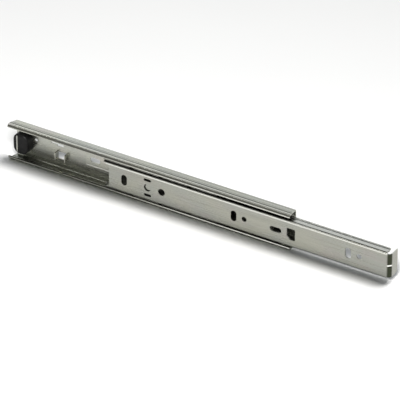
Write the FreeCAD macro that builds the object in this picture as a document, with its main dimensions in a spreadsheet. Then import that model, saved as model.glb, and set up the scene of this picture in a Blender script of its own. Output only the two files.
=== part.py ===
import FreeCAD, Part
import math
import os
import re
import Sketcher

# Side-mounted ball-bearing drawer slide with two members, partly drawn out.
#
# Frame: X runs along the slide towards the drawer front, Y towards the cabinet wall and
# Z up.  The origin is the middle of the cabinet rail's back face, so everything else has
# a negative Y.  "Depth" below is the distance in front of that face.
#
# Every size is a cell of the sheet "Sizes".  Expressions name the cells by alias alone.

SIZES = {
    # rolled steel strip of both rails
    "strip": 1.2,
    "bend_radius": 0.6,
    # cabinet rail
    "outer_length": 280.0,
    "outer_height": 35.5,
    "flange_depth": 10.3,
    "lip_depth": 11.6,
    "lip_gap": 0.5,
    "lip_land": 1.2,
    "end_slant": 3.0,
    # drawer rail
    "slide_thickness": 12.7,
    "inner_length": 278.6,
    "inner_back_depth": 4.2,
    "inner_bend_radius": 0.5,
    # how far the slide is drawn out here, and the gap left when it is closed
    "shown_travel": 95.1,
    "stop_gap": 0.3,
    # balls and the races rolled for them
    "ball_diameter": 4.76,
    "ball_count": 8,
    "ball_pitch": 14.25,
    "ball_row_depth": 7.1,
    "ball_clearance": 0.12,
    "race_relief": 0.22,
    "outer_race_depth": 0.35,
    "inner_race_depth": 0.85,
    # ball cage
    "cage_strip": 0.6,
    "cage_length": 112.0,
    "cage_lead": 47.05,
    "cage_back_depth": 2.6,
    "cage_front_depth": 10.9,
    "cage_gap": 0.55,
    "cage_bend_radius": 0.6,
    "cage_hole_clearance": 0.15,
    "cage_window_edge": 4.9,
    "cage_window_depth": 13.0,
    "cage_notch_pitch": 28.5,
    "cage_notch_width": 3.4,
    "cage_notch_depth": 0.7,
    # rubber bumper on its lanced tab
    "bumper_from_rear": 4.5,
    "bumper_length": 15.0,
    "bumper_gap": 0.9,
    "bumper_roundness": 1.5,
    "bumper_fit": 0.05,
    "bumper_tab_from_rear": 8.1,
    "bumper_rim": 1.8,
    "bumper_front_depth": 10.6,
    # other lanced tabs of the cabinet rail
    "ear_from_rear": 43.5,
    "ear_spacing": 9.8,
    "ear_top": -1.0,
    "ear_bottom": -8.0,
    "ear_reach": 5.2,
    "front_stop_from_front": 19.4,
    "front_stop_height": 10.0,
    "front_stop_depth": 10.5,
    "front_stop_window": 9.0,
    # holes of the cabinet rail
    "pilot_from_rear": 22.6,
    "pilot_height": 3.0,
    "pilot_diameter": 3.0,
    "hook_slot_from_rear": 38.0,
    "hook_slot_length": 12.5,
    "hook_slot_width": 2.6,
    "hook_slot_height": 5.2,
    "hook_slot_step": 1.1,
    "pad_from_rear": 73.5,
    "pad_length": 32.5,
    "pad_bottom": -4.0,
    "pad_top": 9.0,
    "pad_rise": 0.8,
    "cabinet_slot_from_rear": 83.2,
    "cabinet_slot_height": 2.0,
    "cabinet_slot_length": 10.0,
    "cabinet_slot_width": 4.6,
    "cabinet_hole_from_front": 93.0,
    "cabinet_front_slot_from_front": 39.0,
    # holes of the drawer rail
    "upright_slot_length": 10.2,
    "upright_slot_width": 5.4,
    "rear_slot_from_rear": 20.7,
    "guide_slot_from_rear": 44.0,
    "guide_slot_length": 7.2,
    "guide_slot_width": 2.4,
    "guide_slot_spacing": 15.0,
    "access_hole_from_rear": 57.9,
    "access_hole_diameter": 6.5,
    "middle_slot_offset": -10.6,
    "middle_hole_offset": -0.3,
    "screw_hole_diameter": 4.6,
    "long_slot_offset": 30.0,
    "long_slot_length": 11.0,
    "long_slot_width": 4.8,
    "square_hole_offset": 44.7,
    "square_hole_length": 8.0,
    "square_hole_height": 11.0,
    "square_hole_chamfer": 3.0,
    "square_hole_corner": 1.0,
    "front_slot_from_front": 40.0,
    "front_hole_from_front": 29.7,
    # stop button half sheared out of the drawer rail
    "crescent_radius": 3.4,
    "crescent_inner_radius": 3.0,
    "crescent_shift": 1.1,
    "button_diameter": 4.6,
    "button_back_depth": 7.0,
    # rear end and front tab of the drawer rail
    "web_notch_length": 5.5,
    "web_notch_edge": 2.95,
    "web_notch_mouth_edge": 0.55,
    "flange_setback": 4.1,
    "tab_edge": 1.35,
    "tab_back_depth": 0.4,
    "tab_bend_radius": 1.8,
    "tab_corner": 3.0,
    "gusset_width": 2.6,
    "gusset_leg": 2.8,
}

OUTER_REAR = "(-outer_length / 2)"
OUTER_FRONT = "(outer_length / 2)"
INNER_FRONT = "(outer_length / 2 + stop_gap + strip + shown_travel)"
INNER_REAR = f"({INNER_FRONT} - inner_length)"
INNER_MIDDLE = f"({INNER_FRONT} - inner_length / 2)"
WEB_BACK = "(slide_thickness - strip)"

# The cage leads the drawer rail's rear end when closed and then moves half as far.
CAGE_REAR = f"({INNER_REAR} + cage_lead - shown_travel / 2)"
CAGE_MIDDLE = f"({CAGE_REAR} + cage_length / 2)"

# Heights above the middle, from the cabinet rail's flange down to the bumper.
OUTER_HALF = "(outer_height / 2)"
RACE_TOP = f"({OUTER_HALF} - strip + outer_race_depth)"
RACE_RADIUS = "(ball_diameter / 2 + race_relief)"
OUTER_RACE = f"({RACE_TOP} - {RACE_RADIUS})"
BALL_ROW = f"({RACE_TOP} - ball_clearance - ball_diameter / 2)"
INNER_RACE_FLOOR = f"({BALL_ROW} - ball_diameter / 2 - ball_clearance)"
INNER_RACE = f"({INNER_RACE_FLOOR} + {RACE_RADIUS})"
INNER_HALF = f"({INNER_RACE_FLOOR} + inner_race_depth)"
CAGE_HALF = f"({INNER_HALF} + cage_gap + cage_strip)"
LIP_EDGE = f"({CAGE_HALF} + lip_gap)"
BUMPER_HALF = f"({INNER_RACE_FLOOR} - strip - bumper_gap)"
BUMPER_TAB_HALF = f"({BUMPER_HALF} - bumper_rim)"
CAGE_WINDOW_HALF = f"({CAGE_HALF} - cage_window_edge)"
TAB_HALF = f"({INNER_HALF} - tab_edge)"
CUT_MARGIN = "1"
ORIGIN = -1
START, END, CENTRE = 1, 2, 3


# ---------------------------------------------------------------- sheet and expressions

def make_sizes(doc):
    """Write every size into the sheet, one aliased cell each."""
    sheet = doc.addObject("Spreadsheet::Sheet", "Sizes")
    for row, (name, value) in enumerate(SIZES.items(), start=1):
        sheet.set(f"A{row}", name)
        sheet.set(f"B{row}", str(value))
        sheet.setAlias(f"B{row}", name)
    doc.recompute()


def full_expression(text):
    """Turn an expression in bare aliases into one that names the sheet."""
    return re.sub(r"[a-z]\w*", r"Sizes.\g<0>", text)


def value(doc, text):
    """Value of an expression for the sizes now in the sheet."""
    return float(doc.Sizes.evalExpression(full_expression(text)))


def bind(thing, setting, text):
    """Tie a property of a document object to the sheet."""
    thing.setExpression(setting, full_expression(text))


# ---------------------------------------------------------------- bodies and sketches

def new_body(doc, label):
    """Empty body whose label is the name of its piece."""
    body = doc.addObject("PartDesign::Body", label)
    body.Label = label
    body.Placement = FreeCAD.Placement()
    return body


def new_sketch(body, name, plane, offset):
    """Sketch on one of the body's origin planes, moved along the plane's normal."""
    sketch = body.newObject("Sketcher::SketchObject", f"{body.Name}_{name}")
    support = next(item for item in body.Origin.OriginFeatures if item.Role == plane)
    sketch.AttachmentSupport = [(support, "")]
    sketch.MapMode = "FlatFace"
    bind(sketch, "AttachmentOffset.Base.z", offset)
    return sketch


def across(body, name, offset=OUTER_REAR):
    """Sketch across the slide: Y to the right, Z up, normal towards the drawer front."""
    return new_sketch(body, name, "YZ_Plane", offset)


def facing(body, name, depth="0"):
    """Sketch parallel to the cabinet wall: X to the right, Z up, normal away from it."""
    return new_sketch(body, name, "XZ_Plane", depth)


def level(body, name, height):
    """Level sketch: X to the right, Y up the page, normal upwards."""
    return new_sketch(body, name, "XY_Plane", height)


def constrain(sketch, kind, geometry, text):
    """Add a dimension to the sketch and tie it to the sheet."""
    number = sketch.addConstraint(
        Sketcher.Constraint(kind, *geometry, value(sketch.Document, text))
    )
    bind(sketch, f"Constraints[{number}]", text)


def place_point(sketch, geometry, point, x, y):
    """Hold one point of a sketch at x, y."""
    constrain(sketch, "DistanceX", (ORIGIN, START, geometry, point), x)
    constrain(sketch, "DistanceY", (ORIGIN, START, geometry, point), y)


def draw_polygon(sketch, corners):
    """Closed outline with straight sides through the corners."""
    doc = sketch.Document
    points = [FreeCAD.Vector(value(doc, x), value(doc, y), 0) for x, y in corners]
    sides = []
    for point, following in zip(points, points[1:] + points[:1]):
        sides.append(sketch.addGeometry(Part.LineSegment(point, following), False))
    for side, following in zip(sides, sides[1:] + sides[:1]):
        sketch.addConstraint(Sketcher.Constraint("Coincident", side, END, following, START))
    for side, (x, y) in zip(sides, corners):
        place_point(sketch, side, START, x, y)


def draw_box(sketch, left, right, low, high):
    """Rectangle between two x and two y values."""
    draw_polygon(sketch, [(left, low), (right, low), (right, high), (left, high)])


def add_arc(sketch, x, y, radius, start, stop):
    """Arc of a circle about x, y, before any constraint; angles in radians."""
    doc = sketch.Document
    middle = FreeCAD.Vector(value(doc, x), value(doc, y), 0)
    circle = Part.Circle(middle, FreeCAD.Vector(0, 0, 1), value(doc, radius))
    return sketch.addGeometry(Part.ArcOfCircle(circle, start, stop), False)


def draw_circle(sketch, x, y, diameter):
    """Full circle."""
    doc = sketch.Document
    middle = FreeCAD.Vector(value(doc, x), value(doc, y), 0)
    radius = f"({diameter}) / 2"
    circle = Part.Circle(middle, FreeCAD.Vector(0, 0, 1), value(doc, radius))
    ring = sketch.addGeometry(circle, False)
    place_point(sketch, ring, CENTRE, x, y)
    constrain(sketch, "Radius", (ring,), radius)


def draw_slot(sketch, x, y, length, width, upright=False):
    """Round-ended slot, lying or upright."""
    doc = sketch.Document
    turn = math.pi / 2 if upright else 0.0
    reach = f"({length} - {width}) / 2"
    radius = f"{width} / 2"
    ahead = (x, f"{y} + {reach}") if upright else (f"{x} + {reach}", y)
    behind = (x, f"{y} - {reach}") if upright else (f"{x} - {reach}", y)
    first = add_arc(sketch, *ahead, radius, turn - math.pi / 2, turn + math.pi / 2)
    last = add_arc(sketch, *behind, radius, turn + math.pi / 2, turn + 3 * math.pi / 2)
    points = [arc_point(doc, *ahead, radius, turn + side * math.pi / 2) for side in (1, -1)]
    points += [arc_point(doc, *behind, radius, turn + side * math.pi / 2) for side in (1, -1)]
    out = sketch.addGeometry(Part.LineSegment(points[0], points[2]), False)
    back = sketch.addGeometry(Part.LineSegment(points[3], points[1]), False)
    for one, other in ((first, out), (out, last), (last, back), (back, first)):
        sketch.addConstraint(Sketcher.Constraint("Tangent", one, END, other, START))
    sketch.addConstraint(Sketcher.Constraint("Equal", first, last))
    constrain(sketch, "Radius", (first,), radius)
    place_point(sketch, first, CENTRE, *ahead)
    place_point(sketch, last, CENTRE, *behind)


def arc_point(doc, x, y, radius, angle):
    """Point at an angle on a circle about x, y."""
    size = value(doc, radius)
    across_x = value(doc, x) + size * math.cos(angle)
    return FreeCAD.Vector(across_x, value(doc, y) + size * math.sin(angle), 0)


def draw_segment(sketch, x, y, radius, chord, upwards):
    """Part of a disc beyond a level chord, above it or below it."""
    doc = sketch.Document
    lean = math.asin((value(doc, chord) - value(doc, y)) / value(doc, radius))
    turns = (lean, math.pi - lean) if upwards else (math.pi - lean, 2 * math.pi + lean)
    arc = add_arc(sketch, x, y, radius, *turns)
    start, stop = (arc_point(doc, x, y, radius, turn) for turn in turns)
    line = sketch.addGeometry(Part.LineSegment(stop, start), False)
    sketch.addConstraint(Sketcher.Constraint("Coincident", arc, END, line, START))
    sketch.addConstraint(Sketcher.Constraint("Coincident", line, END, arc, START))
    sketch.addConstraint(Sketcher.Constraint("Horizontal", line))
    place_point(sketch, arc, CENTRE, x, y)
    constrain(sketch, "Radius", (arc,), radius)
    constrain(sketch, "DistanceY", (ORIGIN, START, line, START), chord)


def draw_crescent(sketch, x, y, radius, inner_radius, shift):
    """Crescent between two circles, thickest at its lower left."""
    doc = sketch.Document
    big, small = value(doc, radius), value(doc, inner_radius)
    apart = math.sqrt(2) * value(doc, shift)
    towards = math.acos((big**2 + apart**2 - small**2) / (2 * big * apart))
    inner_towards = math.acos((big**2 - apart**2 - small**2) / (2 * small * apart))
    axis = math.pi / 4
    outer_turns = (axis + towards, axis + 2 * math.pi - towards)
    inner_turns = (axis + inner_towards, axis + 2 * math.pi - inner_towards)
    inner_x, inner_y = f"{x} + {shift}", f"{y} + {shift}"
    outer = add_arc(sketch, x, y, radius, *outer_turns)
    inner = add_arc(sketch, inner_x, inner_y, inner_radius, *inner_turns)
    sketch.addConstraint(Sketcher.Constraint("Coincident", outer, START, inner, START))
    sketch.addConstraint(Sketcher.Constraint("Coincident", outer, END, inner, END))
    place_point(sketch, outer, CENTRE, x, y)
    place_point(sketch, inner, CENTRE, inner_x, inner_y)
    constrain(sketch, "Radius", (outer,), radius)
    constrain(sketch, "Radius", (inner,), inner_radius)


# ---------------------------------------------------------------- features

def add_metal(body, sketch, length):
    """Pad the sketch along its normal."""
    pad = body.newObject("PartDesign::Pad", f"{sketch.Name}_pad")
    pad.Profile = sketch
    bind(pad, "Length", length)
    body.Document.recompute()


def cut_metal(body, sketch, length):
    """Pocket the sketch along its normal and make sure that it removed something."""
    before = body.Shape.Volume
    pocket = body.newObject("PartDesign::Pocket", f"{sketch.Name}_cut")
    pocket.Profile = sketch
    pocket.Reversed = True
    bind(pocket, "Length", length)
    body.Document.recompute()
    if body.Shape.Volume >= before:
        raise RuntimeError(f"{pocket.Name} cut nothing")


def round_edges(body, name, radius, axis, places):
    """Round the straight edges along an axis that pass through the given places."""
    doc = body.Document
    base = body.Tip
    wanted = [[value(doc, text) for text in place] for place in places]
    names = []
    for number, edge in enumerate(base.Shape.Edges, start=1):
        middle = (edge.BoundBox.Center.x, edge.BoundBox.Center.y, edge.BoundBox.Center.z)
        lengths = (edge.BoundBox.XLength, edge.BoundBox.YLength, edge.BoundBox.ZLength)
        spot = [middle[index] for index in range(3) if index != axis]
        spread = max(lengths[index] for index in range(3) if index != axis)
        near = any(math.dist(spot, place) < 0.01 for place in wanted)
        if near and spread < 0.01:
            names.append(f"Edge{number}")
    if len(names) < len(places):
        raise RuntimeError(f"{body.Name}: {name} found only {len(names)} edges")
    fillet = body.newObject("PartDesign::Fillet", f"{body.Name}_{name}")
    fillet.Base = (base, names)
    bind(fillet, "Radius", radius)
    doc.recompute()


def mirrored(upper):
    """Outline of a section from its upper half, the lower half being its mirror image."""
    return upper + [(y, f"-({z})") for y, z in reversed(upper)]


def both_sides(y, z):
    """The same place above and below the middle."""
    return [(y, z), (y, f"-({z})")]


def roll_race(body, name, rear, length, race, flange, outward):
    """Form a ball race along both flanges: a bead of strip, then the groove itself."""
    for side, sign in (("top", ""), ("bottom", "-")):
        upwards = (sign == "") == outward
        bead = across(body, f"{name}_bead_{side}", rear)
        middle = f"{sign}{race}"
        bead_radius = f"{RACE_RADIUS} + strip"
        draw_segment(bead, "-ball_row_depth", middle, bead_radius, f"{sign}{flange}", upwards)
        add_metal(body, bead, length)
        groove = across(body, f"{name}_groove_{side}", f"{rear} - {CUT_MARGIN}")
        draw_circle(groove, "-ball_row_depth", middle, f"2 * {RACE_RADIUS}")
        cut_metal(body, groove, f"{length} + 2 * {CUT_MARGIN}")


def raise_tab(body, name, left, low, high, reach, window):
    """Tab lanced out of the cabinet rail's wall, beside the window that it leaves."""
    opening = facing(body, f"{name}_window", f"-{CUT_MARGIN}")
    right = f"{left} + strip"
    draw_box(opening, right, f"{right} + {window}", low, high)
    cut_metal(body, opening, f"strip + 2 * {CUT_MARGIN}")
    tab = facing(body, f"{name}_tab")
    draw_box(tab, left, right, low, high)
    add_metal(body, tab, reach)


# ---------------------------------------------------------------- cabinet rail

def outer_rail(doc):
    """Cabinet member: C channel with lips turned in over the balls."""
    body = new_body(doc, "outer_rail")
    half = OUTER_HALF
    land_top = f"({LIP_EDGE} + lip_land)"
    reach = "(lip_depth - flange_depth)"
    drop = f"({half} - {land_top})"
    slope = f"(({reach} ^ 2 + {drop} ^ 2) ^ 0.5)"
    front_inside = (f"-flange_depth + strip * {drop} / ({slope} + {reach})", f"{half} - strip")
    upper = [
        ("0", half),
        ("-flange_depth", half),
        ("-lip_depth", land_top),
        ("-lip_depth", LIP_EDGE),
        ("-lip_depth + strip", LIP_EDGE),
        ("-lip_depth + strip", f"{land_top} - strip * {reach} / ({slope} + {drop})"),
        front_inside,
        ("-strip", f"{half} - strip"),
    ]
    section = across(body, "section")
    draw_polygon(section, mirrored(upper))
    add_metal(body, section, "outer_length")
    outside = both_sides("0", half) + both_sides("-flange_depth", half)
    inside = both_sides("-strip", f"{half} - strip") + both_sides(*front_inside)
    round_edges(body, "outer_bends", "bend_radius + strip", 0, outside)
    round_edges(body, "inner_bends", "bend_radius", 0, inside)
    roll_race(body, "race", OUTER_REAR, "outer_length", OUTER_RACE, f"({half} - strip / 2)", True)
    cut_rear_slant(body)
    emboss_pad(body)
    cut_cabinet_holes(body)
    lance_tabs(body)
    return body


def cut_rear_slant(body):
    """Slant the rear end, so that the front bends reach further back than the wall."""
    slant = level(body, "rear_slant", f"-outer_height / 2 - strip - {CUT_MARGIN}")
    corners = [
        (f"{OUTER_REAR} - {CUT_MARGIN}", CUT_MARGIN),
        (f"{OUTER_REAR} + end_slant", CUT_MARGIN),
        (f"{OUTER_REAR} + end_slant", "-strip"),
        (OUTER_REAR, "-flange_depth + strip"),
        (f"{OUTER_REAR} - {CUT_MARGIN}", "-flange_depth + strip"),
    ]
    draw_polygon(slant, corners)
    cut_metal(body, slant, f"outer_height + 2 * strip + 2 * {CUT_MARGIN}")


def emboss_pad(body):
    """Raised pad around the rear screw slot, hollow behind like any pressing."""
    left = f"{OUTER_REAR} + pad_from_rear"
    right = f"{left} + pad_length"
    pad = facing(body, "pad", "pad_rise")
    draw_box(pad, left, right, "pad_bottom", "pad_top")
    add_metal(body, pad, "strip")
    inset = "strip / 2"
    hollow = facing(body, "pad_hollow", f"-{CUT_MARGIN}")
    draw_box(
        hollow, f"{left} + {inset}", f"{right} - {inset}",
        f"pad_bottom + {inset}", f"pad_top - {inset}",
    )
    cut_metal(body, hollow, f"pad_rise + {CUT_MARGIN}")


def cut_cabinet_holes(body):
    """Screw holes, pilot hole and stepped hook slot in the wall of the cabinet rail."""
    holes = facing(body, "holes", f"-{CUT_MARGIN}")
    draw_slot(
        holes, f"{OUTER_REAR} + cabinet_slot_from_rear", "cabinet_slot_height",
        "cabinet_slot_length", "cabinet_slot_width",
    )
    draw_slot(
        holes, f"{OUTER_FRONT} - cabinet_front_slot_from_front", "cabinet_slot_height",
        "cabinet_slot_length", "cabinet_slot_width",
    )
    draw_circle(holes, f"{OUTER_FRONT} - cabinet_hole_from_front", "0", "screw_hole_diameter")
    draw_circle(holes, f"{OUTER_REAR} + pilot_from_rear", "pilot_height", "pilot_diameter")
    left = f"{OUTER_REAR} + hook_slot_from_rear"
    middle = f"{left} + hook_slot_length / 2"
    right = f"{left} + hook_slot_length"
    low = "hook_slot_height"
    high = f"{low} + hook_slot_width"
    hook = [
        (left, low), (middle, low), (middle, f"{low} - hook_slot_step"),
        (right, f"{low} - hook_slot_step"), (right, f"{high} - hook_slot_step"),
        (middle, f"{high} - hook_slot_step"), (middle, high), (left, high),
    ]
    draw_polygon(holes, hook)
    cut_metal(body, holes, f"strip + pad_rise + 2 * {CUT_MARGIN}")


def lance_tabs(body):
    """Bumper tab, pair of ears and front stop, all bent out of the wall."""
    raise_tab(
        body, "bumper", f"{OUTER_REAR} + bumper_tab_from_rear", f"-{BUMPER_TAB_HALF}",
        BUMPER_TAB_HALF, "bumper_front_depth", "bumper_length / 2",
    )
    left_ear = f"{OUTER_REAR} + ear_from_rear"
    raise_tab(
        body, "left_ear", left_ear, "ear_bottom", "ear_top", "ear_reach", "ear_spacing - strip"
    )
    right_ear = facing(body, "right_ear_tab")
    draw_box(
        right_ear, f"{left_ear} + ear_spacing", f"{left_ear} + ear_spacing + strip",
        "ear_bottom", "ear_top",
    )
    add_metal(body, right_ear, "ear_reach")
    raise_tab(
        body, "front_stop", f"{OUTER_FRONT} - front_stop_from_front", "-front_stop_height / 2",
        "front_stop_height / 2", "front_stop_depth", "front_stop_window",
    )


# ---------------------------------------------------------------- drawer rail

def inner_rail(doc):
    """Drawer member: C channel with its web in front and its back open."""
    body = new_body(doc, "inner_rail")
    half = INNER_HALF
    upper = [
        ("-inner_back_depth", half),
        ("-slide_thickness", half),
    ]
    lower_inside = [
        ("-inner_back_depth", f"-({half} - strip)"),
        (f"-{WEB_BACK}", f"-({half} - strip)"),
        (f"-{WEB_BACK}", f"{half} - strip"),
        ("-inner_back_depth", f"{half} - strip"),
    ]
    section = across(body, "section", INNER_REAR)
    draw_polygon(section, mirrored(upper) + lower_inside)
    channel_length = "(inner_length - flange_setback)"
    add_metal(body, section, channel_length)
    outside = both_sides("-slide_thickness", half)
    inside = both_sides(f"-{WEB_BACK}", f"{half} - strip")
    round_edges(body, "outer_bends", "inner_bend_radius + strip", 0, outside)
    round_edges(body, "inner_bends", "inner_bend_radius", 0, inside)
    roll_race(body, "race", INNER_REAR, channel_length, INNER_RACE, f"({half} - strip / 2)", False)
    notch_web(body)
    shear_button(body)
    cut_drawer_holes(body)
    cut_square_hole(body)
    bend_front_tab(body)
    return body


def notch_web(body):
    """Cut the web back at the rear, which leaves two pointed horns along the bends."""
    notch = facing(body, "web_notch", f"{WEB_BACK} - {CUT_MARGIN}")
    mouth = f"{INNER_REAR} - {CUT_MARGIN}"
    floor = f"{INNER_REAR} + web_notch_length"
    wide = f"({INNER_HALF} - web_notch_mouth_edge)"
    narrow = f"({INNER_HALF} - web_notch_edge)"
    draw_polygon(
        notch, [(mouth, f"-{wide}"), (floor, f"-{narrow}"), (floor, narrow), (mouth, wide)]
    )
    cut_metal(body, notch, f"strip + 2 * {CUT_MARGIN}")


def shear_button(body):
    """Stop button pushed back out of the web inside a crescent-shaped cut."""
    button = facing(body, "button", "button_back_depth")
    middle = f"{INNER_REAR} + guide_slot_from_rear"
    draw_circle(button, f"{middle} + crescent_shift", "crescent_shift", "button_diameter")
    add_metal(body, button, f"{WEB_BACK} - button_back_depth")
    crescent = facing(body, "crescent", f"{WEB_BACK} - {CUT_MARGIN}")
    draw_crescent(
        crescent, middle, "0", "crescent_radius", "crescent_inner_radius", "crescent_shift"
    )
    cut_metal(body, crescent, f"strip + 2 * {CUT_MARGIN}")


def cut_drawer_holes(body):
    """Slots and holes in the web of the drawer rail, all but one on its middle line."""
    holes = facing(body, "holes", f"{WEB_BACK} - {CUT_MARGIN}")
    upright_slots = (
        f"{INNER_REAR} + rear_slot_from_rear",
        f"{INNER_MIDDLE} + middle_slot_offset",
        f"{INNER_FRONT} - front_slot_from_front",
    )
    for place in upright_slots:
        draw_slot(holes, place, "0", "upright_slot_length", "upright_slot_width", upright=True)
    for side in ("", "-"):
        draw_slot(
            holes, f"{INNER_REAR} + guide_slot_from_rear", f"{side}guide_slot_spacing / 2",
            "guide_slot_length", "guide_slot_width",
        )
    draw_slot(holes, f"{INNER_MIDDLE} + long_slot_offset", "0", "long_slot_length", "long_slot_width")
    draw_circle(holes, f"{INNER_REAR} + access_hole_from_rear", "0", "access_hole_diameter")
    draw_circle(holes, f"{INNER_MIDDLE} + middle_hole_offset", "0", "screw_hole_diameter")
    draw_circle(holes, f"{INNER_FRONT} - front_hole_from_front", "0", "screw_hole_diameter")
    cut_metal(body, holes, f"strip + 2 * {CUT_MARGIN}")


def cut_square_hole(body):
    """Driver hole with one chamfered corner and small rounds at the others."""
    middle = f"{INNER_MIDDLE} + square_hole_offset"
    left = f"{middle} - square_hole_length / 2"
    right = f"{middle} + square_hole_length / 2"
    low, high = "-square_hole_height / 2", "square_hole_height / 2"
    hole = facing(body, "square_hole", f"{WEB_BACK} - {CUT_MARGIN}")
    draw_polygon(hole, [
        (f"{left} + square_hole_chamfer", low), (right, low), (right, high),
        (left, high), (left, f"{low} + square_hole_chamfer"),
    ])
    cut_metal(body, hole, f"strip + 2 * {CUT_MARGIN}")
    rounded = [(right, low), (right, high), (left, high)]
    round_edges(body, "square_hole_rounds", "square_hole_corner", 1, rounded)


def bend_front_tab(body):
    """Tab bent back across the front end, with a pressed gusset over the bend."""
    front, web_front = INNER_FRONT, "-slide_thickness"
    start = f"{front} - flange_setback"
    tab_back = f"{front} - strip"
    low = f"-{TAB_HALF}"
    tab = level(body, "front_tab", low)
    draw_polygon(tab, [
        (start, web_front), (front, web_front), (front, "-tab_back_depth"),
        (tab_back, "-tab_back_depth"), (tab_back, f"-{WEB_BACK}"), (start, f"-{WEB_BACK}"),
    ])
    add_metal(body, tab, f"2 * {TAB_HALF}")
    corner = "-tab_back_depth"
    round_edges(body, "tab_bend", "tab_bend_radius + strip", 2, [(front, web_front)])
    round_edges(body, "tab_crease", "tab_bend_radius", 2, [(tab_back, f"-{WEB_BACK}")])
    round_edges(body, "tab_corner", "tab_corner", 0, [(corner, low)])
    gusset_bottom = "-gusset_width / 2"
    gusset = level(body, "gusset", gusset_bottom)
    draw_polygon(gusset, [
        (tab_back, f"-{WEB_BACK}"), (tab_back, f"-{WEB_BACK} + gusset_leg"),
        (f"{tab_back} - gusset_leg", f"-{WEB_BACK}"),
    ])
    add_metal(body, gusset, "gusset_width")
    dent = level(body, "gusset_dent", gusset_bottom)
    draw_polygon(dent, [
        (f"{front} + {CUT_MARGIN}", f"{web_front} - {CUT_MARGIN}"),
        (f"{front} + {CUT_MARGIN}", f"{web_front} + gusset_leg + {CUT_MARGIN}"),
        (f"{front} - gusset_leg - {CUT_MARGIN}", f"{web_front} - {CUT_MARGIN}"),
    ])
    cut_metal(body, dent, "gusset_width")


# ---------------------------------------------------------------- cage, balls and bumper

def ball_places():
    """Distance of each ball of a row in front of the cage's middle."""
    count = int(SIZES["ball_count"])
    return [f"({number} - (ball_count - 1) / 2) * ball_pitch" for number in range(count)]


def ball_cage(doc):
    """Thin C strip that keeps both rows of balls apart."""
    body = new_body(doc, "ball_cage")
    half = CAGE_HALF
    upper = [
        ("-cage_back_depth", half),
        ("-cage_front_depth", half),
        ("-cage_front_depth", f"{half} - cage_strip"),
        ("-cage_back_depth - cage_strip", f"{half} - cage_strip"),
    ]
    section = across(body, "section", CAGE_REAR)
    draw_polygon(section, mirrored(upper))
    add_metal(body, section, "cage_length")
    outside = both_sides("-cage_back_depth", half)
    inside = both_sides("-cage_back_depth - cage_strip", f"{half} - cage_strip")
    round_edges(body, "outer_bends", "cage_bend_radius + cage_strip", 0, outside)
    round_edges(body, "inner_bends", "cage_bend_radius", 0, inside)
    bottom = f"-{half} - {CUT_MARGIN}"
    through = f"2 * {half} + 2 * {CUT_MARGIN}"
    holes = level(body, "ball_holes", bottom)
    for place in ball_places():
        draw_circle(
            holes, f"{CAGE_MIDDLE} + {place}", "-ball_row_depth",
            "ball_diameter + 2 * cage_hole_clearance",
        )
    cut_metal(body, holes, through)
    notches = level(body, "edge_notches", bottom)
    for number in (-1, 0, 1):
        middle = f"{CAGE_MIDDLE} + {number} * cage_notch_pitch"
        draw_box(
            notches, f"{middle} - cage_notch_width / 2", f"{middle} + cage_notch_width / 2",
            f"-cage_front_depth - {CUT_MARGIN}", "-cage_front_depth + cage_notch_depth",
        )
    cut_metal(body, notches, through)
    windows = facing(body, "end_windows", f"cage_back_depth - {CUT_MARGIN}")
    low, high = f"-{CAGE_WINDOW_HALF}", CAGE_WINDOW_HALF
    front = f"{CAGE_REAR} + cage_length"
    draw_box(windows, f"{CAGE_REAR} - {CUT_MARGIN}", f"{CAGE_REAR} + cage_window_depth", low, high)
    draw_box(windows, f"{front} - cage_window_depth", f"{front} + {CUT_MARGIN}", low, high)
    cut_metal(body, windows, f"cage_strip + 2 * {CUT_MARGIN}")
    return body


def balls(doc):
    """Two rows of steel balls, one node each."""
    pieces = []
    for row, sign in (("upper", ""), ("lower", "-")):
        for number, place in enumerate(ball_places(), start=1):
            ball = doc.addObject("Part::Sphere", f"ball_{row}_{number}")
            ball.Label = f"ball_{row}_{number}"
            bind(ball, "Radius", "ball_diameter / 2")
            bind(ball, "Placement.Base.x", f"{CAGE_MIDDLE} + {place}")
            bind(ball, "Placement.Base.y", "-ball_row_depth")
            bind(ball, "Placement.Base.z", f"{sign}{BALL_ROW}")
            pieces.append(ball)
    return pieces


def rear_bumper(doc):
    """Rubber block pushed over the rear tab of the cabinet rail."""
    body = new_body(doc, "rear_bumper")
    left = f"{OUTER_REAR} + bumper_from_rear"
    right = f"{left} + bumper_length"
    half = BUMPER_HALF
    block = facing(body, "block", "strip")
    draw_box(block, left, right, f"-{half}", half)
    add_metal(body, block, "bumper_front_depth - strip")
    corners = [(x, z) for x in (left, right) for z in (half, f"-{half}")]
    shorter = f"({half} * bumper_length / (2 * {half} + bumper_length))"
    round_edges(body, "corners", f"bumper_roundness * {shorter}", 1, corners)
    tab = f"{OUTER_REAR} + bumper_tab_from_rear"
    socket = facing(body, "socket", f"strip - {CUT_MARGIN}")
    draw_box(
        socket, f"{tab} - bumper_fit", f"{tab} + strip + bumper_fit",
        f"-{BUMPER_TAB_HALF} - bumper_fit", f"{BUMPER_TAB_HALF} + bumper_fit",
    )
    cut_metal(body, socket, f"bumper_front_depth + 2 * {CUT_MARGIN}")
    return body


# ---------------------------------------------------------------- build and write

def check(doc, pieces):
    """Stop on any object that failed and on any piece without one valid solid."""
    for item in doc.Objects:
        if "Invalid" in item.State or "Error" in item.State:
            raise RuntimeError(f"{item.Name} failed: {item.State}")
    for piece in pieces:
        if piece.Shape.isNull() or not piece.Shape.isValid():
            raise RuntimeError(f"{piece.Label} has no valid shape")
        if len(piece.Shape.Solids) != 1:
            raise RuntimeError(f"{piece.Label} has {len(piece.Shape.Solids)} solids")


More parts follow.
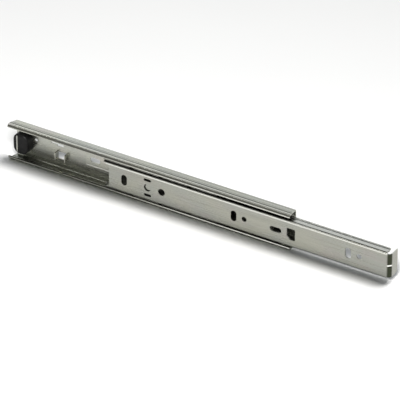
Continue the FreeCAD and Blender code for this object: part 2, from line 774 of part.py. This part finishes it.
def main():
    doc = FreeCAD.newDocument("drawer_slide")
    make_sizes(doc)
    pieces = [outer_rail(doc), inner_rail(doc), ball_cage(doc), rear_bumper(doc)]
    pieces += balls(doc)
    doc.recompute()
    check(doc, pieces)
    os.makedirs("parts", exist_ok=True)
    for piece in pieces:
        piece.Shape.exportStep(f"parts/{piece.Label}.step")


main()
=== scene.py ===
import math

import bpy
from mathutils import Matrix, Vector
from mathutils.bvhtree import BVHTree


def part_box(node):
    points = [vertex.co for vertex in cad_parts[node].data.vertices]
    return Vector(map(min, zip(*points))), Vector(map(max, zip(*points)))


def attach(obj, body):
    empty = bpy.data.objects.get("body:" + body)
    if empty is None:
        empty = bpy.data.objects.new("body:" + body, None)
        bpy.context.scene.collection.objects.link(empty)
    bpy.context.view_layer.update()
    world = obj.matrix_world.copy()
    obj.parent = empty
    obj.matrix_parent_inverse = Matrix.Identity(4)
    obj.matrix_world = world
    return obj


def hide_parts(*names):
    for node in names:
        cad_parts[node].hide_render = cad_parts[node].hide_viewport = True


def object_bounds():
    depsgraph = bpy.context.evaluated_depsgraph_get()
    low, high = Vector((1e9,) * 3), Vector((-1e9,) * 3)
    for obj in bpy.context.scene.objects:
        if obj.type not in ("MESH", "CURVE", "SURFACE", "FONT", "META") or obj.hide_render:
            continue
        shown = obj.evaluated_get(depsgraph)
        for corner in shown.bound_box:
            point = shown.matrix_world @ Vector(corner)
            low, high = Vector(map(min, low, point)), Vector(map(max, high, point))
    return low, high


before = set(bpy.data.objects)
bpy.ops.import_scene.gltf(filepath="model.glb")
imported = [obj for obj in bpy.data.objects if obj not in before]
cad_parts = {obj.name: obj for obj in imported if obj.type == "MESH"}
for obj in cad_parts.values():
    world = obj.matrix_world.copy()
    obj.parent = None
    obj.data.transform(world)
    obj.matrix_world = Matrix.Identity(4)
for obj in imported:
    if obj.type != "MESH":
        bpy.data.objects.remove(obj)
CAD_LOW, CAD_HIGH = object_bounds()
CABINET_LOW, CABINET_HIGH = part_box("outer_rail")
DRAWER_LOW, DRAWER_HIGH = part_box("inner_rail")

MM = 0.001
ROW_LENGTH = 8                   # balls in each row of the cage
LIP_TIP = 14.4 * MM              # how far the cabinet rail's lip tips stand from the middle
ROLLED_EDGE = 0.16 * MM          # the roll on the rails' other edges
SHARP = math.radians(38.0)       # an edge that turns by more than this is rolled over
NEAR = 0.05 * MM                 # a point this close to a face is taken to lie on it
SAME_PLACE = 0.002 * MM          # two points closer than this are one
SOFT = 0.2 * MM                  # the width over which most marks fade


# ---------------------------------------------------------------- finishes

class Amount:
    """What one socket of a finish gives. Sums on amounts add Math nodes."""

    def __init__(self, finish, socket):
        self.finish = finish
        self.socket = socket

    def sum_of(self, operation, first, second):
        return self.finish.node("ShaderNodeMath", {"operation": operation}, {0: first, 1: second})

    def __add__(self, other):
        return self.sum_of("ADD", self, other)

    def __sub__(self, other):
        return self.sum_of("SUBTRACT", self, other)

    def __rsub__(self, other):
        return self.sum_of("SUBTRACT", other, self)

    def __mul__(self, other):
        return self.sum_of("MULTIPLY", self, other)

    def above(self, other):
        return self.sum_of("MAXIMUM", self, other)

    def size(self):
        return self.sum_of("ABSOLUTE", self, 0.0)

    def rises(self, start, end):
        """0 at the start, 1 at the end and past it."""
        return self.finish.node(
            "ShaderNodeMapRange", {"clamp": True}, {0: self, 1: start, 2: end})

    def band(self, low, high, soft):
        """1 from low to high, fading to 0 over the soft edge outside."""
        return self.rises(low - soft, low) * self.rises(high + soft, high)

    __radd__ = __add__
    __rmul__ = __mul__


class Mixture:
    """A node tree under way."""

    def __init__(self, tree):
        self.nodes = tree.nodes
        self.links = tree.links

    def node(self, kind, settings=None, sockets=None, out=0):
        """Adds a node: its settings first, then its sockets' values or links. Gives its output."""
        made = self.nodes.new(kind)
        for name, value in (settings or {}).items():
            if name == "stops":
                ramp = made.color_ramp.elements
                while len(ramp) < len(value):
                    ramp.new(0.5)
                for stop, (position, level) in zip(ramp, value):
                    stop.position = position
                    stop.color = (level, level, level, 1.0)
            else:
                setattr(made, name, value)
        for name, value in (sockets or {}).items():
            if isinstance(value, Amount):
                self.links.new(value.socket, made.inputs[name])
            else:
                made.inputs[name].default_value = value
        return Amount(self, made.outputs[out])

    def ramp(self, amount, *stops):
        return self.node("ShaderNodeValToRGB", {"stops": stops}, {"Fac": amount})

    def mixed(self, share, first, second):
        """First colour to second colour by the share."""
        return self.node(
            "ShaderNodeMix", {"data_type": "RGBA"}, {0: share, 6: first, 7: second}, out=2)


class Finish(Mixture):
    """A material under way: its nodes, and the surface shader that they feed."""

    def __init__(self, name, constants):
        self.material = bpy.data.materials.new(name)
        self.material.use_nodes = True
        super().__init__(self.material.node_tree)
        self.nodes.clear()
        self.surface = self.nodes.new("ShaderNodeBsdfPrincipled")
        for socket, value in constants.items():
            self.surface.inputs[socket].default_value = value
        end = self.nodes.new("ShaderNodeOutputMaterial")
        self.links.new(self.surface.outputs[0], end.inputs["Surface"])
        self.place = self.node("ShaderNodeTexCoord", out="Object")

    def feed(self, sockets):
        """Links what varies over the surface to the shader."""
        for name, amount in sockets.items():
            self.links.new(amount.socket, self.surface.inputs[name])

    def stretched(self, along, up=None):
        """The place on the piece in cycles per metre, drawn out where the count is low."""
        scale = (along, up, up) if up else (along, along, along)
        return self.node(
            "ShaderNodeVectorMath", {"operation": "MULTIPLY"}, {0: self.place, 1: scale})

    def clouds(self, where, detail=2.0, rough=0.5, warp=0.0):
        return self.node(
            "ShaderNodeTexNoise", {"noise_dimensions": "3D"},
            {"Vector": where, "Scale": 1.0, "Detail": detail, "Roughness": rough,
             "Distortion": warp})

    def along(self, axis):
        return self.node("ShaderNodeSeparateXYZ", None, {0: self.place}, out=axis)

    def bumped(self, height, strength, depth):
        return self.node(
            "ShaderNodeBump", None,
            {"Strength": strength, "Distance": depth, "Height": height}, out="Normal")


def colour(red, green, blue):
    return (red, green, blue, 1.0)


def zinc_plated(name, shift, bright, marks):
    """Bright zinc plate on drawn strip: long roller lines, soft clouds of tint, fine grain.

    Shift slides the pattern along, so that no two pieces share it. Bright is how much light the
    plate throws back; the drawer rail's lower value is painted shade. Marks gives the masks and
    colours of painted shade and painted highlights, and a few darker lines, and a mask of where
    the plate is made matt.
    """
    finish = Finish(name, {"Specular IOR Level": 0.5})
    piece = finish.place
    finish.place = finish.node(
        "ShaderNodeVectorMath", {"operation": "ADD"}, {0: piece, 1: (shift, 0.0, 0.0)})
    clouds = finish.clouds(finish.stretched(34.0, 60.0), detail=3.0, warp=0.4)
    tints = finish.clouds(finish.stretched(52.0, 80.0), detail=2.0)
    lines = finish.clouds(finish.stretched(14.0, 1500.0), detail=4.0, rough=0.6)
    bands = finish.clouds(finish.stretched(4.0, 420.0), detail=2.0)
    grain = finish.clouds(finish.stretched(2400.0), detail=2.0)
    warm = finish.mixed(
        finish.ramp(clouds, (0.38, 0.0), (0.62, 1.0)),
        colour(bright, bright, bright * 0.87), colour(bright * 0.93, bright * 0.95, bright * 0.87))
    plate = finish.mixed(
        finish.ramp(tints, (0.52, 0.0), (0.70, 0.55)), warm,
        colour(bright, bright * 0.93, bright * 0.89))
    wear_and_painted_light = finish.mixed(
        finish.ramp(lines, (0.30, 0.75), (0.52, 0.0)), plate,
        colour(bright * 0.74, bright * 0.74, bright * 0.63))
    finish.place = piece
    tones, matt = marks(finish.along("X"), finish.along("Y"), finish.along("Z"))
    # the marks paint shade, highlights and darker lines over the plate's own wear
    for mask, tone in tones:
        wear_and_painted_light = finish.mixed(mask, wear_and_painted_light, tone)
    finish.feed({
        "Base Color": wear_and_painted_light,
        "Metallic": 1.0 - matt * 0.65,
        "Roughness": 0.15 + clouds * 0.08 + lines * 0.12 + grain * 0.04,
        "Normal": finish.bumped(lines * 0.6 + bands * 1.2 + grain * 0.25, 0.13, 0.00004),
    })
    return finish.material


# painted highlight: a bright tone where highlight lines fall on bends, lip tips and edges
PAINTED_HIGHLIGHT = colour(0.86, 0.86, 0.82)
# painted lighter tone for flanges that stand in the light, clear of the cabinet rail
PAINTED_LIGHTER_TONE = colour(0.62, 0.62, 0.58)
# painted shade, grey, for the channel's inside and the races
PAINTED_GREY_SHADE = colour(0.20, 0.205, 0.18)
# a duller tone: painted shade on whole faces, and darker lines along the top flange
DULL_TONE_AND_PAINTED_SHADING = colour(0.26, 0.26, 0.225)
# painted shade, near black, for the drawer rail's front bend
PAINTED_NEAR_BLACK_SHADE = colour(0.04, 0.045, 0.03)
# painted shade, black, for dark bends and the lower lip's edge
PAINTED_BLACK_SHADE = colour(0.03, 0.03, 0.025)


def cabinet_painted_light_and_lines(x, y, z):
    """Painted highlights on the lip tips, shoulder and pad edge, two darker lines along the top
    flange, and painted shade: a darker tone on the top flange, the inside of the channel, darker
    low on its back wall, the front bend and the lower lip's edge.
    """
    face = CABINET_LOW.y
    height = z.size()
    # the top flange is given a darker tone towards the front: painted shade
    top = height.rises(CABINET_HIGH.z - 1.0 * MM, CABINET_HIGH.z - 0.6 * MM)
    forward = x.rises(-30.0 * MM, 60.0 * MM)
    # two darker lines along the top flange
    rear_track = y.band(-3.3 * MM, -2.3 * MM, 0.5 * MM)
    front_track = y.band(-8.7 * MM, -7.7 * MM, 0.4 * MM)
    # painted highlight along the top shoulder, where a highlight line falls
    shoulder = height.rises(16.6 * MM, 16.9 * MM) * y.band(face + 1.4 * MM, face + 2.8 * MM, SOFT)
    # the painted highlights on the lip tips grow stronger towards the front
    painted_highlight_share = x.rises(-60.0 * MM, 40.0 * MM) * 0.8 + 0.15
    front = y.rises(face + 0.6 * MM, face + 0.2 * MM)
    # painted highlight on the tip of the upper lip
    upper_tip = z.band(LIP_TIP + 0.1 * MM, LIP_TIP + 1.3 * MM, SOFT) * front * painted_highlight_share
    # painted shade on the front bend of the top flange
    bend = (z.band(LIP_TIP + 1.5 * MM, CABINET_HIGH.z + 0.1 * MM, SOFT)
            * y.rises(face + 1.5 * MM, face + 1.0 * MM))
    # painted highlight on the tip of the lower lip
    lower_tip = z.band(-LIP_TIP - 1.8 * MM, -LIP_TIP - 0.6 * MM, SOFT) * front * painted_highlight_share
    # painted shade on the lower lip's rolled edge, where a highlight would fall
    lower_edge = (z.band(-LIP_TIP - 0.4 * MM, -LIP_TIP + 0.4 * MM, 0.15 * MM)
                  * y.rises(face + 1.4 * MM, face + 1.2 * MM))
    # painted highlight along the lower edge of the pad
    pad_edge = (z.band(-4.9 * MM, -3.9 * MM, SOFT) * x.band(-66.0 * MM, -34.5 * MM, 0.5 * MM)
                * y.band(-2.3 * MM, -0.9 * MM, 0.1 * MM))
    # painted shade inside the channel, by the flanges
    inside = y.band(-9.4 * MM, -1.4 * MM, SOFT) * height.band(12.6 * MM, 16.8 * MM, SOFT)
    # painted shade on the back wall, darker towards the bottom
    painted_shade_low_down = (z.rises(3.0 * MM, -12.0 * MM) * y.band(-2.3 * MM, -1.0 * MM, SOFT)
               * height.rises(14.0 * MM, 13.0 * MM))
    tones = [
        (top * forward * 0.25, DULL_TONE_AND_PAINTED_SHADING),
        (top * forward * rear_track * 0.6, DULL_TONE_AND_PAINTED_SHADING),
        (top * forward * front_track * 0.35, DULL_TONE_AND_PAINTED_SHADING),
        (inside * 0.8, PAINTED_GREY_SHADE),
        (painted_shade_low_down * 0.6, PAINTED_GREY_SHADE),
        (lower_edge, PAINTED_BLACK_SHADE),
        (shoulder * 0.25, PAINTED_HIGHLIGHT),
        (bend * 0.85, PAINTED_BLACK_SHADE),
        (upper_tip * 0.45, PAINTED_HIGHLIGHT),
        (lower_tip * 0.75, PAINTED_HIGHLIGHT),
        (pad_edge, PAINTED_HIGHLIGHT),
    ]
    # matt under the painted highlights and the painted shade on the bend
    matt = (upper_tip * 0.6).above(lower_tip).above(pad_edge).above(shoulder * 0.4)
    return tones, matt.above(bend * 0.8)


def drawer_painted_light(x, y, z):
    """Flanges painted lighter where they stand clear of the cabinet rail at rest, painted shade on
    them inside it, a painted shade line behind the top bend, darker inside, painted highlights on
    the upper shoulder and the gusset, and painted shade on the front bend and the tab's face."""
    face = DRAWER_LOW.y
    bend_starts = 10.9 * MM
    flange = 11.9 * MM
    height = z.size()
    # the races: painted shade all along, painted lighter where they stand clear
    races = height.rises(bend_starts, bend_starts + 0.4 * MM) * y.rises(
        face + 1.3 * MM, face + 1.8 * MM)
    # clear of the cabinet rail at rest, where the flanges are painted lighter
    clear = x.rises(CABINET_HIGH.x - 2.0 * MM, CABINET_HIGH.x + 6.0 * MM)
    # the painted shade line is darker inside the cabinet rail
    shade_deeper_inside = (1.0 - clear) * 0.75 + 0.25
    # painted shade along the flange top just behind the top bend
    painted_shade_line = (height.rises(flange, flange + SOFT) * y.band(face + 0.5 * MM, face + 3.1 * MM, SOFT)
                * shade_deeper_inside)
    # painted highlight on the upper shoulder, where the highlight line falls
    shoulder = (height.band(bend_starts, flange, 0.15 * MM)
                * y.rises(face + 1.3 * MM, face + 0.9 * MM) * z.rises(0.0, 1.0 * MM))
    # painted shade on the front bend, by the tab
    bend = (x.rises(DRAWER_HIGH.x - 4.0 * MM, DRAWER_HIGH.x - 2.6 * MM)
            * y.rises(face + 3.4 * MM, face + 2.1 * MM))
    # painted highlight on the gusset in the front bend
    gusset = height.rises(1.0 * MM, 0.2 * MM) * bend
    # painted shade on the tab's face
    tab_face = x.rises(DRAWER_HIGH.x - 0.6 * MM, DRAWER_HIGH.x - 0.3 * MM)
    tones = [
        (races * 0.15, PAINTED_GREY_SHADE),
        (races * clear * 0.9, PAINTED_LIGHTER_TONE),
        (painted_shade_line, PAINTED_BLACK_SHADE),
        (shoulder * 0.55, PAINTED_HIGHLIGHT),
        (tab_face * 0.45, DULL_TONE_AND_PAINTED_SHADING),
        (bend, PAINTED_NEAR_BLACK_SHADE),
        (gusset, PAINTED_HIGHLIGHT),
    ]
    # matt under the painted highlights
    return tones, (shoulder * 0.6).above(gusset)


def cage_steel():
    """Thin unplated strip, oiled, darker where the grease has crept; its whole tone is kept dark,
    partly as painted shade for the gap between the rails where it sits.
    """
    finish = Finish("oiled_cage_steel_painted_dark", {"Metallic": 1.0})
    film = finish.clouds(finish.stretched(90.0, 160.0), detail=3.0, warp=0.6)
    lines = finish.clouds(finish.stretched(40.0, 2200.0), detail=3.0)
    grain = finish.clouds(finish.stretched(3000.0), detail=2.0)
    # a dark tone: oiled steel, and partly painted shade for the gap
    metal = finish.mixed(
        finish.ramp(film, (0.40, 0.0), (0.66, 1.0)),
        colour(0.24, 0.24, 0.22), colour(0.10, 0.10, 0.085))
    finish.feed({
        "Base Color": metal,
        "Roughness": 0.30 + film * 0.16 + lines * 0.08,
        "Normal": finish.bumped(lines + grain * 0.4, 0.3, 0.00003),
    })
    return finish.material


def bearing_steel():
    """Polished balls under a thin smear of grease."""
    finish = Finish("polished_bearing_steel", {"Metallic": 1.0})
    smear = finish.clouds(finish.stretched(420.0), detail=3.0, warp=0.8)
    haze = finish.clouds(finish.stretched(4200.0), detail=2.0)
    metal = finish.mixed(
        finish.ramp(smear, (0.50, 0.0), (0.72, 1.0)),
        colour(0.70, 0.70, 0.69), colour(0.46, 0.43, 0.36))
    finish.feed({
        "Base Color": metal,
        "Roughness": 0.07 + finish.ramp(smear, (0.50, 0.0), (0.72, 1.0)) * 0.25 + haze * 0.04,
        "Normal": finish.bumped(smear, 0.15, 0.00003),
    })
    return finish.material


def black_rubber():
    """Moulded rubber: near black, satin, faintly mottled, with dust in the low places."""
    finish = Finish(
        "black_moulded_rubber", {"Metallic": 0.0, "IOR": 1.45, "Specular IOR Level": 0.16})
    mottle = finish.clouds(finish.stretched(260.0), detail=3.0, warp=0.5)
    skin = finish.clouds(finish.stretched(2600.0), detail=3.0)
    dust = finish.clouds(finish.stretched(900.0, 700.0), detail=4.0, rough=0.65)
    body = finish.mixed(
        finish.ramp(mottle, (0.35, 0.0), (0.70, 1.0)),
        colour(0.003, 0.003, 0.003), colour(0.008, 0.008, 0.008))
    dusty = finish.mixed(
        finish.ramp(dust, (0.60, 0.0), (0.78, 0.35)), body, colour(0.03, 0.03, 0.027))
    finish.feed({
        "Base Color": dusty,
        "Roughness": 0.26 + mottle * 0.16 + dust * 0.14,
        "Normal": finish.bumped(skin * 0.5 + mottle, 0.35, 0.00008),
    })
    return finish.material


# ------------------------------------------------------------------- pieces

def only(piece):
    """Makes the piece the one thing selected."""
    bpy.ops.object.select_all(action="DESELECT")
    piece.select_set(True)
    bpy.context.view_layer.objects.active = piece


def dress(piece, material):
    piece.data.materials.clear()
    piece.data.materials.append(material)


def worked_copy(node, name):
    """A copy of the node's shape with its faces joined up, ready to be worked."""
    piece = bpy.data.objects.new(name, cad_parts[node].data.copy())
    bpy.context.scene.collection.objects.link(piece)
    only(piece)
    bpy.ops.object.mode_set(mode="EDIT")
    bpy.ops.mesh.select_all(action="SELECT")
    bpy.ops.mesh.customdata_custom_splitnormals_clear()
    bpy.ops.mesh.remove_doubles(threshold=SAME_PLACE)
    bpy.ops.mesh.dissolve_limited(angle_limit=math.radians(0.5))
    bpy.ops.object.mode_set(mode="OBJECT")
    return piece


def round_over(piece, chosen, width, segments):
    """Rolls the edges whose two ends are both chosen, each end given by its place."""
    only(piece)
    bpy.ops.object.mode_set(mode="EDIT")
    bpy.ops.mesh.select_mode(type="EDGE")
    bpy.ops.mesh.select_all(action="DESELECT")
    bpy.ops.object.mode_set(mode="OBJECT")
    for edge in piece.data.edges:
        first, second = (piece.data.vertices[end].co for end in edge.vertices)
        edge.select = chosen(first) and chosen(second) and chosen((first + second) / 2)
    bpy.ops.object.mode_set(mode="EDIT")
    bpy.ops.mesh.bevel(offset=width, segments=segments, affect="EDGES", clamp_overlap=False)
    bpy.ops.object.mode_set(mode="OBJECT")


def drawn_in(piece, node):
    """Puts back on the node's own surface each point that a rolled corner threw out of it."""
    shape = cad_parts[node].data
    surface = BVHTree.FromPolygons(
        [corner.co for corner in shape.vertices], [face.vertices for face in shape.polygons])
    for point in piece.data.vertices:
        nearest, outward, _, _ = surface.find_nearest(point.co)
        if (point.co - nearest).dot(outward) > SAME_PLACE:
            point.co = nearest


def finish_off(piece, node, body, edge, material):
    """Rolls over what sharp edges are left, smooths the bends, and hands the piece over."""
    only(piece)
    rolled = piece.modifiers.new("rolled_edges", "BEVEL")
    rolled.limit_method = "ANGLE"
    rolled.angle_limit = SHARP
    rolled.width = edge
    rolled.segments = 2
    rolled.use_clamp_overlap = False
    rolled.miter_outer = "MITER_ARC"
    bpy.ops.object.modifier_apply(modifier=rolled.name)
    drawn_in(piece, node)
    bpy.ops.object.shade_smooth_by_angle(angle=SHARP)
    flat = piece.modifiers.new("flat_faces_stay_flat", "WEIGHTED_NORMAL")
    flat.mode = "FACE_AREA"
    flat.weight = 100
    flat.keep_sharp = True
    bpy.ops.object.modifier_apply(modifier=flat.name)
    dress(piece, material)
    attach(piece, body)
    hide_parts(node)


def cabinet_rail():
    """The lipped rail: the tips of both lips are rolled over well, every other edge a little."""
    rail = worked_copy("outer_rail", "cabinet_rail")

    def at_lip_tip(point):
        return point.y < CABINET_LOW.y + NEAR and abs(point.z) < LIP_TIP + NEAR

    round_over(rail, at_lip_tip, 0.7 * MM, 5)
    finish_off(rail, "outer_rail", "cabinet_member", ROLLED_EDGE,
               zinc_plated("zinc_plate_cabinet_rail", 0.0, 0.46, cabinet_painted_light_and_lines))


def drawer_rail():
    rail = worked_copy("inner_rail", "drawer_rail")
    # the drawer rail's plate is darker than the cabinet rail's: painted shade for its bright web
    finish_off(rail, "inner_rail", "drawer_member", ROLLED_EDGE,
               zinc_plated("zinc_plate_drawer_rail", 0.7, 0.33, drawer_painted_light))


def box_between(name, low, high):
    """A plain block to start from, with its place in its mesh."""
    bpy.ops.object.select_all(action="DESELECT")
    bpy.ops.mesh.primitive_cube_add(size=1.0, location=(low + high) / 2, scale=high - low)
    block = bpy.context.object
    block.name = name
    bpy.ops.object.transform_apply(location=True, rotation=False, scale=True)
    return block


def rubber_bumper():
    """Soft block pushed over the rear tab: rounded ends, a rolled front and a slot for the tab."""
    low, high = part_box("rear_bumper")
    block = box_between("rubber_bumper", low, high)

    def on_upright_edge(point):
        return min(point.x - low.x, high.x - point.x) < NEAR and (
            min(point.z - low.z, high.z - point.z) < NEAR)

    def on_front_outline(point):
        return point.y < low.y + NEAR

    round_over(block, on_upright_edge, 6.2 * MM, 8)
    round_over(block, on_front_outline, 1.8 * MM, 5)
    tab_rear, tab_front = low.x + 3.6 * MM, low.x + 4.8 * MM
    slack, slot_top, past = 0.25 * MM, 8.3 * MM, 1.0 * MM
    slot = box_between(
        "slot", Vector((tab_rear - slack, low.y - past, -slot_top)),
        Vector((tab_front + slack, high.y + past, slot_top)))
    only(block)
    cut = block.modifiers.new("slot_for_the_tab", "BOOLEAN")
    cut.operation = "DIFFERENCE"
    cut.object = slot
    bpy.ops.object.modifier_apply(modifier=cut.name)
    bpy.data.objects.remove(slot)
    finish_off(block, "rear_bumper", "cabinet_member", 0.25 * MM, black_rubber())


STEEL_OF_BALLS = bearing_steel()
cabinet_rail()
drawer_rail()
rubber_bumper()
dress(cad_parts["ball_cage"], cage_steel())
for row in ("upper", "lower"):
    for number in range(1, ROW_LENGTH + 1):
        dress(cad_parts[f"ball_{row}_{number}"], STEEL_OF_BALLS)


# ------------------------------------------------------- floor, light, camera

def pale_floor(name, middle):
    """One half of the floor, as a square centred on the middle."""
    bpy.ops.mesh.primitive_plane_add(size=FLOOR_SIZE, location=middle)
    floor = bpy.context.object
    floor.name = name
    finish = Finish(f"{name}_paint", {"Metallic": 0.0, "Roughness": 0.9})
    shade = finish.clouds(finish.stretched(6.0), detail=2.0)
    finish.feed({"Base Color": finish.mixed(
        shade, colour(0.84, 0.84, 0.845), colour(0.86, 0.86, 0.86))})
    dress(floor, finish.material)
    return floor


def toward(azimuth, elevation):
    """The direction of a place on the sky: azimuth 0 is in front of the part, 90 at its right."""
    turn, rise = math.radians(azimuth), math.radians(elevation)
    return Vector((math.sin(turn) * math.cos(rise), -math.cos(turn) * math.cos(rise),
                   math.sin(rise)))


def set_up(name, data, aim, out, distance):
    """A lamp or camera that stands off from its aim and points back at it."""
    thing = bpy.data.objects.new(name, data)
    bpy.context.scene.collection.objects.link(thing)
    thing.location = aim + out * distance
    thing.rotation_mode = "QUATERNION"
    thing.rotation_quaternion = (-out).to_track_quat("-Z", "Y")
    return thing


def softbox(name, azimuth, elevation, distance, width, height, power, tint, flagged):
    """A soft lamp aimed at the part, flagged off from what it shall not light."""
    lamp = bpy.data.lights.new(name, "AREA")
    lamp.shape = "RECTANGLE"
    lamp.size = width
    lamp.size_y = height
    lamp.energy = power
    lamp.color = tint
    box = set_up(name, lamp, CENTRE, toward(azimuth, elevation), distance)
    shaded = bpy.data.collections.new(f"flagged_from_{name}")
    for piece in flagged:
        shaded.objects.link(piece)
    for piece in shaded.collection_objects:
        piece.light_linking.link_state = "EXCLUDE"
    box.light_linking.receiver_collection = shaded


def studio_walls():
    """Grey walls with a pale ring, brightest at a window behind the part, under a dark ceiling,
    and a dim room in front. The camera sees a plain backdrop in their place."""
    world = bpy.data.worlds.new("studio_walls")
    world.use_nodes = True
    walls = Mixture(world.node_tree)
    heading = walls.node("ShaderNodeTexCoord", out="Generated")
    height = walls.node("ShaderNodeSeparateXYZ", None, {0: heading}, out="Z")

    def turned_to(azimuth, elevation):
        """1 for a heading straight at that place on the sky, 0 for one straight away from it."""
        lined_up = walls.node(
            "ShaderNodeVectorMath", {"operation": "DOT_PRODUCT"},
            {0: heading, 1: toward(azimuth, elevation)}, out="Value")
        return lined_up * 0.5 + 0.5

    room_in_front = walls.ramp(turned_to(-14.0, 8.0), (0.42, 0.0), (0.80, 1.0))
    window_behind = walls.ramp(turned_to(-149.0, 33.0), (0.72, 0.0), (0.92, 1.0))
    over_the_sill = walls.ramp(height, (0.18, 0.0), (0.42, 1.0))
    ceiling = walls.ramp(height, (0.62, 0.0), (0.80, 1.0))
    ring = over_the_sill * (0.35 + window_behind * 0.65) * (1.0 - ceiling * 0.88)
    lit = walls.mixed(ring, colour(0.16, 0.17, 0.18), colour(1.25, 1.28, 1.30))
    room = walls.mixed(room_in_front, lit, colour(0.035, 0.04, 0.03))
    seen = walls.node("ShaderNodeLightPath", out="Is Camera Ray")
    backdrop = walls.mixed(seen, room, colour(0.92, 0.92, 0.92))
    walls.links.new(backdrop.socket, world.node_tree.nodes["Background"].inputs["Color"])
    bpy.context.scene.world = world


def camera():
    """A long lens far off, so that lines along the rails stay nearly parallel."""
    view = bpy.data.cameras.new("camera")
    view.lens = 359.2
    view.clip_end = 30.0
    off_centre = Vector((2.25, -0.60, 0.66)) * MM
    bpy.context.scene.camera = set_up(
        "camera", view, CENTRE + off_centre, toward(30.76, 33.15), 3.371)


CENTRE = (CAD_LOW + CAD_HIGH) / 2
FLOOR_SIZE = 6.0
PARTING = CAD_HIGH.y - 6.3 * MM      # the floor's halves meet here; the camera sees no seam
WARM_WHITE = (1.0, 0.99, 0.97)
WHITE = (1.0, 1.0, 1.0)
FRONT_FLOOR = pale_floor("front_floor", (0.0, PARTING - FLOOR_SIZE / 2, CAD_LOW.z))
BACK_FLOOR = pale_floor("back_floor", (0.0, PARTING + FLOOR_SIZE / 2, CAD_LOW.z))
studio_walls()
PIECES = [piece for piece in bpy.data.objects
          if piece.type == "MESH" and piece not in (FRONT_FLOOR, BACK_FLOOR)]
softbox("key_softbox", azimuth=140.0, elevation=67.5, distance=2.0, width=0.95, height=0.95,
        power=58.0, tint=WARM_WHITE, flagged=[BACK_FLOOR] + PIECES)
softbox("front_softbox", azimuth=25.0, elevation=45.0, distance=2.0, width=0.60, height=0.60,
        power=64.0, tint=WARM_WHITE, flagged=[FRONT_FLOOR])
softbox("front_strip", azimuth=-38.0, elevation=50.0, distance=1.2, width=1.10, height=0.12,
        power=3.5, tint=WHITE, flagged=[FRONT_FLOOR, BACK_FLOOR])
camera()
bpy.context.scene.view_settings.view_transform = "Standard"
